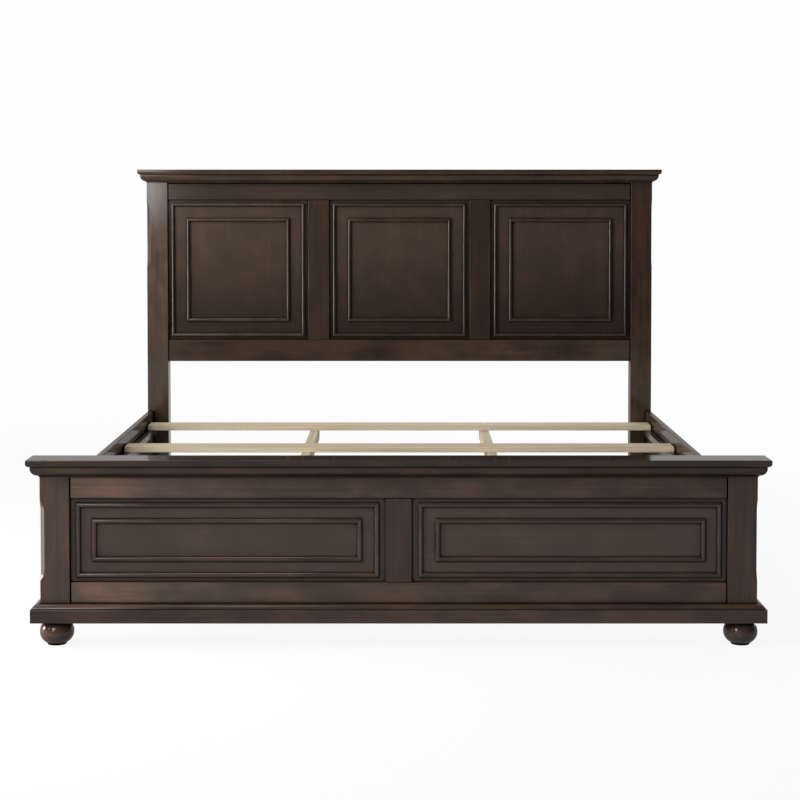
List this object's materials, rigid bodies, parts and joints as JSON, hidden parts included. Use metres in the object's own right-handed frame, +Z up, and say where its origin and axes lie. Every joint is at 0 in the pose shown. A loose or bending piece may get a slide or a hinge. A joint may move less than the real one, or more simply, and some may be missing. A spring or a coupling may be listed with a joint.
{
  "type": "panel bed",
  "caption": "Panel bed with a tall beaded headboard, low footboard on a plinth and bun feet, hook-on side rails and pine slats on levelling support legs.",
  "frame": {"origin": "on the floor, under the middle of the bed's box", "axes": "+Z up, +Y from foot to head, +X to the right seen from the foot end"},
  "size_m": [2.086, 2.223, 1.374],
  "materials": {
    "espresso_hardwood": "dark espresso stain under satin lacquer",
    "bare_pine": "planed, unfinished pine",
    "zinc_steel": "zinc-plated steel"
  },
  "bodies": {
    "bed_frame": {"base_moulding": "espresso_hardwood", "footboard_bottom_rail": "espresso_hardwood", "footboard_cap_board": "espresso_hardwood", "footboard_cornice": "espresso_hardwood", "footboard_left_inner_bead": "espresso_hardwood", "footboard_left_outer_bead": "espresso_hardwood", "footboard_left_panel": "espresso_hardwood", "footboard_left_post": "espresso_hardwood", "footboard_mullion": "espresso_hardwood", "footboard_right_inner_bead": "espresso_hardwood", "footboard_right_outer_bead": "espresso_hardwood", "footboard_right_panel": "espresso_hardwood", "footboard_right_post": "espresso_hardwood", "footboard_top_rail": "espresso_hardwood", "glide_inserts": "zinc_steel", "hanger_bolts": "zinc_steel", "headboard_bottom_rail": "espresso_hardwood", "headboard_cap_board": "espresso_hardwood", "headboard_cornice": "espresso_hardwood", "headboard_left_inner_bead": "espresso_hardwood", "headboard_left_mullion": "espresso_hardwood", "headboard_left_outer_bead": "espresso_hardwood", "headboard_left_panel": "espresso_hardwood", "headboard_left_post": "espresso_hardwood", "headboard_middle_inner_bead": "espresso_hardwood", "headboard_middle_outer_bead": "espresso_hardwood", "headboard_middle_panel": "espresso_hardwood", "headboard_right_inner_bead": "espresso_hardwood", "headboard_right_mullion": "espresso_hardwood", "headboard_right_outer_bead": "espresso_hardwood", "headboard_right_panel": "espresso_hardwood", "headboard_right_post": "espresso_hardwood", "headboard_top_rail": "espresso_hardwood", "ledger_screws": "zinc_steel", "left_bun_foot": "espresso_hardwood", "left_front_leg": "bare_pine", "left_ledger": "espresso_hardwood", "left_rear_leg": "bare_pine", "left_side_rail": "espresso_hardwood", "left_support_beam": "bare_pine", "leg_bolts": "zinc_steel", "plinth": "espresso_hardwood", "post_catch_plates": "zinc_steel", "rail_hook_plates": "zinc_steel", "right_bun_foot": "espresso_hardwood", "right_front_leg": "bare_pine", "right_ledger": "espresso_hardwood", "right_rear_leg": "bare_pine", "right_side_rail": "espresso_hardwood", "right_support_beam": "bare_pine", "slat_1": "bare_pine", "slat_2": "bare_pine", "slat_3": "bare_pine", "slat_4": "bare_pine", "slat_screws": "zinc_steel"},
    "left_front_glide": {"left_front_glide": "zinc_steel"},
    "left_rear_glide": {"left_rear_glide": "zinc_steel"},
    "right_front_glide": {"right_front_glide": "zinc_steel"},
    "right_rear_glide": {"right_rear_glide": "zinc_steel"}
  },
  "joints": [
    {"name": "left_front_glide_level", "type": "slide", "parent": "bed_frame", "child": "left_front_glide", "axis": [0, 0, 1], "range_m": [0, 0.015]},
    {"name": "left_rear_glide_level", "type": "slide", "parent": "bed_frame", "child": "left_rear_glide", "axis": [0, 0, 1], "range_m": [0, 0.015]},
    {"name": "right_front_glide_level", "type": "slide", "parent": "bed_frame", "child": "right_front_glide", "axis": [0, 0, 1], "range_m": [0, 0.015]},
    {"name": "right_rear_glide_level", "type": "slide", "parent": "bed_frame", "child": "right_rear_glide", "axis": [0, 0, 1], "range_m": [0, 0.015]}
  ]
}
